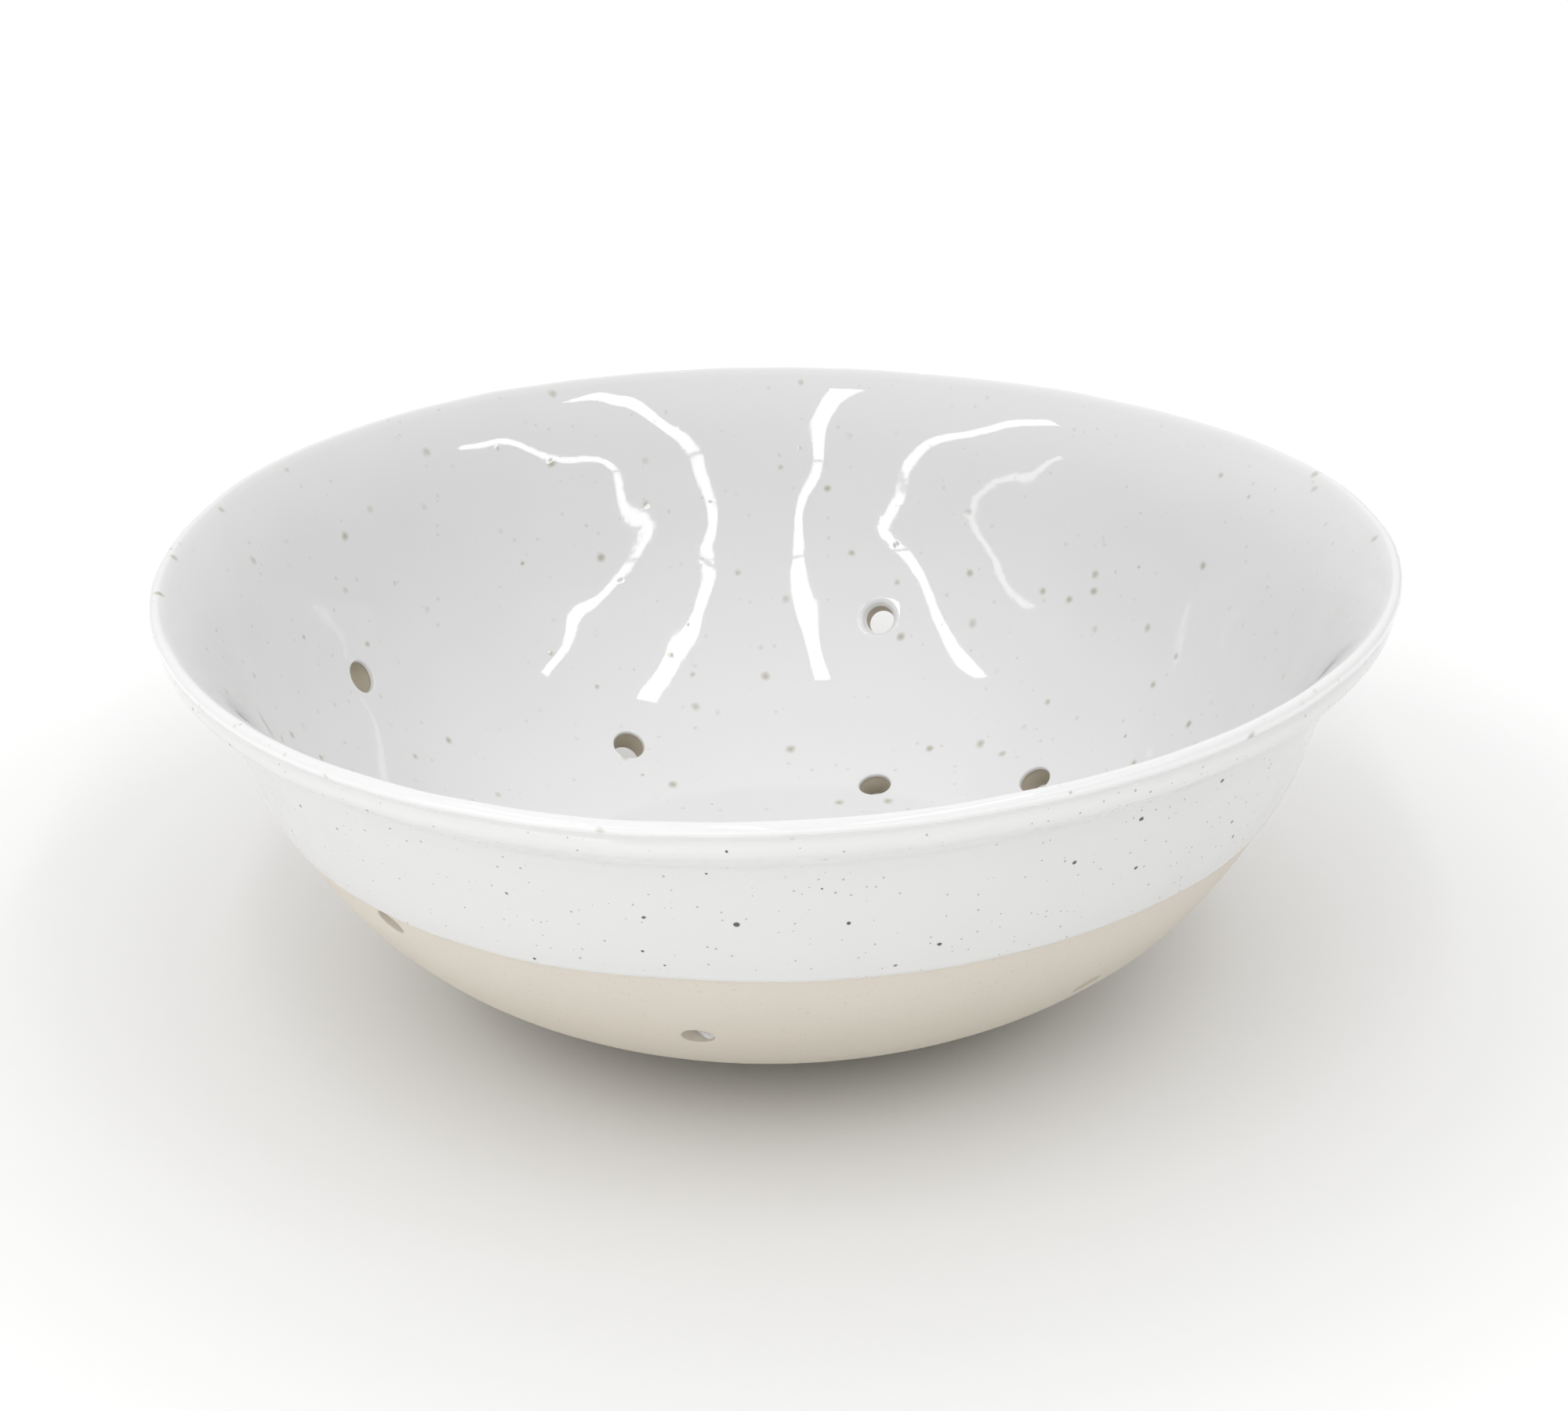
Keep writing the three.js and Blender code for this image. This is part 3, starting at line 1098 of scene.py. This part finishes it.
@dataclass
class LinerGlaze(FiredPiece):
    """Glaze poured over the inside and wrapped over the rim bead, drawn into the drain holes.

    Attributes:
        centre: The hole in the middle of the floor.
        slack: Space between the glaze in a hole and the clay.
        curl_steps: Angles of the rings on which the glaze turns into a hole, in degrees.
        run_rings: Rings on the glaze that ran into a hole.
        highlight_reach: How far the painted highlight on the bead reaches inwards, in sizes of the bead.
    """

    centre: Optional[DrainHole] = None
    slack: float = 0.00003
    curl_steps: tuple = (15, 30, 45, 60, 75, 90)
    run_rings: int = 6
    highlight_reach: float = 1.5

    def face(self, spacing: float) -> list:
        """Section of the open face, from inside the centre hole to the groove."""
        s, hole = self.section, self.centre
        bore = self.wall(hole, 0.0) - hole.film[0]
        trail = [Station(bore, s.floor + s.coat - hole.lip - hole.run[1], math.pi / 2)]
        s.straight(trail, hole.run[1], spacing)
        s.turn(trail, hole.lip, 0, spacing)
        floor = s.floor_inside(bore + hole.lip, spacing)[1:] + s.wall_inside(spacing)[1:]
        return points(trail) + points(floor + s.bead(spacing), s.coat)

    def back(self, spacing: float) -> list:
        """Section of the back, from the groove down to the centre hole."""
        s = self.section
        floor = s.floor_inside(s.hole_radius + s.mouth_break, spacing) + s.wall_inside(spacing)[1:]
        face = self.face(spacing)
        drops = (s.floor + s.coat - face[0].z, s.coat + s.mouth_break)
        edge = [Vector((self.wall(self.centre, drop), 0, s.floor + s.coat - drop)) for drop in drops]
        return [face[0], *edge, *points(floor + s.bead(spacing), s.bed), face[-1]]

    def wall(self, hole: DrainHole, drop: float) -> float:
        """Radius of the clay a drop below the glaze's open face, less the slack."""
        s = self.section
        deep = max(0.0, drop - s.coat) / hole.depth
        return s.hole_radius - (s.hole_radius - s.exit_radius) * deep - self.slack

    def skins(self) -> list:
        """Open face and back of the coat."""
        return [self.skin(self.face), self.skin(self.back, self.hidden)]

    def pierce(self, bm: bmesh.types.BMesh, skins: Sequence) -> None:
        """Draws the glaze into each hole and closes it against the clay."""
        s, wall = self.section, self.wall
        face, back = skins

        def bore(hole: DrainHole, way: float, drop: float = 0.0) -> float:
            """Radius that the glaze leaves open at a drop."""
            return wall(hole, drop) - hole.glaze(way)[1]

        def run(share: float) -> Callable:
            """Ring part of the way down the glaze that ran into a hole."""
            def ring(hole: DrainHole, way: float) -> tuple:
                """Radius and drop of the ring."""
                length, film = hole.glaze(way)
                drop = hole.lip + length * share
                turns, twist = hole.lump_turns
                lump = math.sin(turns * way + twist * share) * hole.lumps * film
                return bore(hole, way, drop) + lump, drop

            return ring

        def tip(hole: DrainHole, way: float) -> tuple:
            """Ring at the end of that glaze, on the clay."""
            drop = hole.lip + sum(hole.glaze(way))
            return wall(hole, drop), drop

        curl = rounded(bore, lambda hole: hole.lip, self.curl_steps)
        wide = {hole: wall(hole, 0.0) - hole.film[0] + hole.lip for hole in self.holes}
        mouths = face.open_mouths(bm, wide, s.coat, self.patch)
        runs = (run((i + 1) / self.run_rings) for i in range(self.run_rings))
        mouths = roll_in(bm, mouths, [*curl, *runs, tip])
        rears = dict.fromkeys(self.holes, s.hole_radius + s.mouth_break)
        rears = back.open_mouths(bm, rears, s.bed, self.patch)
        rears = roll_in(bm, rears, [lambda hole, way: (wall(hole, s.coat + s.mouth_break), s.mouth_break)])
        for hole in self.holes:
            bmesh.ops.bridge_loops(bm, edges=mouths[hole] + rears[hole])

    def trim(self, bm: bmesh.types.BMesh) -> None:
        """Marks the top of the rim bead, where a highlight is painted."""
        s = self.section
        size = s.bead_radius + s.coat
        mark = bm.verts.layers.float.new(CREST_HIGHLIGHT)
        for v in bm.verts:
            inward = s.rim_diameter / 2 - size - math.hypot(v.co.x, v.co.y)
            below = s.height - size - v.co.z
            level = max(0.0, 1 - max(0.0, inward) / (self.highlight_reach * size))
            v[mark] = level * max(0.0, 1 - max(0.0, below) / size)


@dataclass
class DippedBand(FiredPiece):
    """Glaze band from dipping, from the groove under the bead down to the dip line.

    Attributes:
        taper: Length over which the band thins out at the dip line.
        wander: How far the dip line wanders.
        wander_turns: Waves of the dip line round the bowl, each with its share.
        clearance: Bare clay left round a hole at the dip line.
        edge_rows: Rows of faces on the thin edge.
        fade: Height over which the wandering dies out up the wall.
        spread: How much wider than a hole the dip line is drawn up round it.
    """

    taper: float = 0.0016
    wander: float = 0.00035
    wander_turns: tuple = ((3, 1.0, 0.4), (7, 0.6, 2.1), (13, 0.35, 4.0))
    clearance: float = 0.0004
    edge_rows: int = 8
    fade: float = 0.008
    spread: float = 1.6

    def face(self, spacing: float) -> list:
        """Section of the open face, thinning out towards the dip line."""
        s = self.section
        trail = s.band(spacing)
        run = [0.0]
        climb = trail[::-1]
        for a, b in zip(climb, climb[1:]):
            run.append(run[-1] + math.dist((a.r, a.z), (b.r, b.z)))
        run.reverse()
        made = [station.off(s.coat) for station, far in zip(trail, run) if far > self.taper]
        edge = trail[-1]
        for i in range(self.edge_rows):
            a = math.radians(i * 90 / self.edge_rows)
            lift = s.bed + (s.coat - s.bed) * math.cos(a)
            made.append(edge.off(lift, -self.taper * (1 - math.sin(a))))
        return made

    def back(self, spacing: float) -> list:
        """Section of the back, closed to the open face at both ends."""
        s = self.section
        rows = points(s.band(spacing), s.bed)
        return [self.face(spacing)[0], *rows, self.face(spacing)[-1]]

    def skins(self) -> list:
        """Open face and back of the band."""
        return [self.skin(self.face), self.skin(self.back, self.hidden)]

    def trim(self, bm: bmesh.types.BMesh) -> None:
        """Lets the dip line wander, and draws it up where a hole meets it."""
        s = self.section
        edge = s.hull().station(s.dip())
        up = Vector((math.cos(edge.heading), math.sin(edge.heading)))
        for v in bm.verts:
            r = math.hypot(v.co.x, v.co.y)
            climb = (r - edge.r) * up.x + (v.co.z - edge.z) * up.y
            hold = max(0.0, 1 - max(0.0, climb) / self.fade) ** 2
            if hold == 0:
                continue
            bearing = math.atan2(v.co.y, v.co.x)
            lift = self.wander * sum(a * math.sin(n * bearing + p) for n, a, p in self.wander_turns)
            lift = max([lift, *(self.over(hole, edge, bearing) for hole in self.holes)]) * hold
            v.co += Vector((v.co.x / r * up.x, v.co.y / r * up.x, up.y)) * lift

    def over(self, hole: DrainHole, edge: Station, bearing: float) -> float:
        """How far the dip line has to rise to clear a hole.

        Args:
            hole: The hole.
            edge: Clay under the dip line.
            bearing: Direction from the axis.

        Returns:
            The rise along the wall.
        """
        swing = (bearing - math.radians(hole.bearing) + math.pi) % TAU - math.pi
        across = swing * edge.r
        reach = self.section.exit_radius + self.section.mouth_round + self.clearance
        below = math.dist((hole.mouth.r, hole.mouth.z), (edge.r, edge.z))
        far = reach * self.spread
        if abs(across) >= far or below > reach:
            return 0.0
        return (reach - below) * (0.5 + 0.5 * math.cos(math.pi * across / far))


@dataclass
class Colander:
    """The whole colander.

    Attributes:
        section: Section of the clay.
        kiln: How the firing moved it.
        wall_holes: Bearing of each hole in the wall, its climb from the foot's fillet, how the glaze lies
            in it
        and how much painted shade its wall gets, where that differs from the plain hole.
        floor_holes: Number of holes in the ring round the centre hole.
        floor_ring: Diameter of that ring.
    """

    section: ClaySection = field(default_factory=ClaySection)
    kiln: Kiln = field(default_factory=Kiln)
    wall_holes: tuple = (
        (36, 0.0305, {}),
        (68, 0.0145, {}),
        (119, 0.0325, {}),
        (75, 0.0630, {"lip": 0.0014, "film": (0.0002, 0.0002), "run": (0.0008, 0.0020)}),
        (158, 0.0750, {}),
        (224, 0.0740, {"bore_shade": 0.3}),
        (260, 0.0570, {"drip": 225.0, "run": (0.0003, 0.0044), "film": (0.0003, 0.0007), "lumps": 0.6,
                       "bore_shade": 0.3}),
        (310, 0.0515, {"bore_shade": 0.0}),
    )
    floor_holes: int = 5
    floor_ring: float = 0.052

    def holes(self) -> list:
        """Every hole but the one in the middle of the floor, which is part of the section."""
        s, hull = self.section, self.section.hull()
        made = []
        for bearing, climb, glaze in self.wall_holes:
            mouth = hull.station(hull.at_length(climb))
            made.append(DrainHole(bearing, mouth, s.wall, **glaze))
        for i in range(self.floor_holes):
            mouth = Station(self.floor_ring / 2, s.recess_depth, 0.0)
            made.append(DrainHole(i * 360 / self.floor_holes, mouth, s.floor - s.recess_depth))
        return made

    def build(self) -> list:
        """Builds and dresses every piece.

        Returns:
            The pieces' objects.
        """
        shared = {"section": self.section, "holes": self.holes(), "kiln": self.kiln}
        clay = ClayBowl("clay_bowl", Node.CLAY, Slot.CLAY, **shared)
        centre = DrainHole(0.0, Station(0.0, self.section.recess_depth, 0.0), shared["holes"][-1].depth)
        liner = LinerGlaze("liner_coat", Node.LINER, Slot.LINER, centre=centre, **shared)
        band = DippedBand("dipped_band", Node.DIP, Slot.DIP, **shared)
        made = []
        for maker, finish in ((clay, ClayFinish()), (liner, LINER_FINISH), (band, DIP_FINISH)):
            made.append(maker.build())
            maker.dress(made[-1], finish)
        return made


@dataclass(frozen=True)
class Strip:
    """Long ceiling light.

    Attributes:
        middle: Place of its middle.
        across: Width.
        along: Length.
        share: Brightness as a share of the others'.
        tubes: Number of tubes end to end.
        joint: Dark gap between two tubes.
    """

    middle: tuple
    across: float
    along: float
    share: float = 1.0
    tubes: int = 1
    joint: float = 0.04

    def places(self) -> list:
        """Where each tube hangs."""
        pitch = self.along / self.tubes
        steps = (pitch * (i + 0.5) - self.along / 2 for i in range(self.tubes))
        return [Matrix.Translation(Vector(self.middle) + Vector((0, step, 0))) for step in steps]

    def size(self) -> tuple:
        """Width and length of one tube."""
        return self.across, self.along / self.tubes - self.joint


@dataclass(frozen=True)
class Box:
    """Upright soft box that faces the bowl.

    Attributes:
        middle: Place of its middle.
        across: Width.
        tall: Height.
        glow: Brightness.
    """

    middle: tuple
    across: float
    tall: float
    glow: float


@dataclass
class Studio:
    """Floor, lights and camera.

    Attributes:
        strips: Ceiling lights.
        side_box: Low soft box on the left, which lights the outside of the bowl.
        strip_glow: Brightness of a ceiling light.
        sky_glow: Brightness of the room overhead.
        wall_glow: Brightness of the room's wall behind the bowl.
        side_glow: Brightness of the room on the left.
        front_glow: Brightness of the room behind the camera.
        floor_width: Width of the floor.
        floor_drop: How far the floor lies below the resting plane.
        floor_tone: Colour of the floor, and of its faint clouds.
        floor_cloud: Size of those clouds.
        floor_rough: Roughness of the floor.
        floor_glow: Painted light: the floor glows, though it is no lamp.
        floor_shade: Distances from the axis between which that glow sets in; nearer the bowl it is left
            out, as a painted shadow.
        eye: Place of the camera.
        target: Point in the middle of the picture.
        roll: Tilt of the camera, in degrees.
        lens: Focal length for a frame 36 mm wide.
    """

    strips: tuple = (
        Strip((1.55, -1.80, 1.50), 0.12, 3.3, tubes=2),
        Strip((0.62, -1.80, 1.50), 0.12, 3.3, tubes=2),
        Strip((-0.21, -1.90, 1.50), 0.12, 3.1, tubes=2),
        Strip((-1.13, -1.80, 1.50), 0.12, 3.3, tubes=2),
        Strip((-2.10, -2.00, 1.50), 0.10, 2.9, share=0.5, tubes=2),
    )
    side_box: Box = Box((-1.3, -1.3, 0.14), 1.2, 0.24, 3.8)
    strip_glow: float = 6.8
    sky_glow: float = 0.80
    wall_glow: float = 0.72
    side_glow: float = 0.12
    front_glow: float = 0.05
    floor_width: float = 12.0
    floor_drop: float = 0.0002
    floor_tone: tuple = ((0.9, 0.9, 0.9, 1), (0.891, 0.891, 0.8865, 1))
    floor_cloud: float = 0.4
    floor_rough: float = 0.8
    floor_glow: float = 0.30
    floor_shade: tuple = (0.12, 0.34)
    eye: tuple = (0.001076, -0.59321, 0.31795)
    target: tuple = (0.001076, 0.0, 0.05585)
    roll: float = -1.323
    lens: float = 72.0

    def build(self) -> None:
        """Sets up the floor, the room, the ceiling lights and the camera."""
        self.floor()
        self.room()
        for strip in self.strips:
            for place in strip.places():
                self.light("ceiling_tube", strip.size(), self.strip_glow * strip.share, place)
        box, aim = self.side_box, -Vector(self.side_box.middle)
        place = Matrix.Translation(box.middle) @ aim.to_track_quat("-Z", "Y").to_matrix().to_4x4()
        self.light("side_box", (box.across, box.tall), box.glow, place)
        self.camera()
        bpy.context.scene.view_settings.view_transform = "Standard"

    def floor(self) -> None:
        """Lays the plain pale floor, with its painted glow."""
        bm = bmesh.new()
        bmesh.ops.create_grid(bm, x_segments=2, y_segments=2, size=self.floor_width / 2)
        bmesh.ops.translate(bm, verts=bm.verts[:], vec=(0, 0, -self.floor_drop))
        mesh = bpy.data.meshes.new("studio_floor")
        bm.to_mesh(mesh)
        bm.free()
        bench = Bench.material("pale_floor")
        colour = bench.blend(bench.cloud(self.floor_cloud), *self.floor_tone)
        # Painted light and shadow: the floor glows away from the bowl and is left dark near it.
        lit = bench.blend(bench.radius().ease(*self.floor_shade), (0, 0, 0, 1), (1, 1, 1, 1))
        glow = {"Emission Color": lit, "Emission Strength": self.floor_glow, "Specular IOR Level": 0.1}
        mesh.materials.append(bench.surface(colour, self.floor_rough, bench.cloud(0.002) * 0.00001, glow))
        floor = bpy.data.objects.new("studio_floor", mesh)
        bpy.context.scene.collection.objects.link(floor)

    def room(self) -> None:
        """Fills the room with soft light, from overhead and from the wall behind the bowl."""
        world = bpy.data.worlds.new("studio_room")
        bench = Bench(world, "Generated")
        side, back, up = (
            bench.node("ShaderNodeSeparateXYZ", {}, {"Vector": bench.place}, output=axis) for axis in "XYZ"
        )
        glow = up.at_least(0.0) * self.sky_glow + back.at_least(0.0) * self.wall_glow
        glow = glow + (0 - side).at_least(0.0) * self.side_glow + (0 - back).at_least(0.0) * self.front_glow
        room = bench.node("ShaderNodeBackground", {}, {"Color": (1, 1, 1, 1), "Strength": glow})
        bench.end("ShaderNodeOutputWorld", room)
        bpy.context.scene.world = world

    def light(self, name: str, size: tuple, glow: float, place: Matrix) -> None:
        """Adds one rectangular light.

        Args:
            name: Name of the light.
            size: Width and length.
            glow: Brightness.
            place: Where it hangs, shining along its own -Z axis.
        """
        lamp = bpy.data.lights.new(name, "AREA")
        lamp.shape = "RECTANGLE"
        lamp.size, lamp.size_y = size
        lamp.energy = glow * math.pi * size[0] * size[1]
        hung = bpy.data.objects.new(name, lamp)
        hung.matrix_world = place
        bpy.context.scene.collection.objects.link(hung)

    def camera(self) -> None:
        """Places the camera at the photograph's angle."""
        eye, target = Vector(self.eye), Vector(self.target)
        ahead = (target - eye).normalized()
        right = ahead.cross(Vector((0, 0, 1))).normalized()
        up = right.cross(ahead)
        turn = math.radians(self.roll)
        right, up = (
            right * math.cos(turn) + up * math.sin(turn),
            up * math.cos(turn) - right * math.sin(turn),
        )
        lens = bpy.data.cameras.new("photo_camera")
        lens.sensor_fit = "HORIZONTAL"
        lens.sensor_width = 36.0
        lens.lens = self.lens
        lens.clip_start = 0.01
        seat = bpy.data.objects.new("photo_camera", lens)
        seat.matrix_world = Matrix.Translation(eye) @ Matrix((right, up, -ahead)).transposed().to_4x4()
        bpy.context.scene.collection.objects.link(seat)
        bpy.context.scene.camera = seat


def main() -> None:
    """Builds the colander and its studio."""
    logging.basicConfig(level=logging.INFO, format="%(name)s: %(message)s")
    for piece in Colander().build():
        LOG.info("%s: %d faces in %s", piece.name, len(piece.data.polygons), piece.data.materials[0].name)
    Studio().build()


if __name__ == "__main__":
    main()
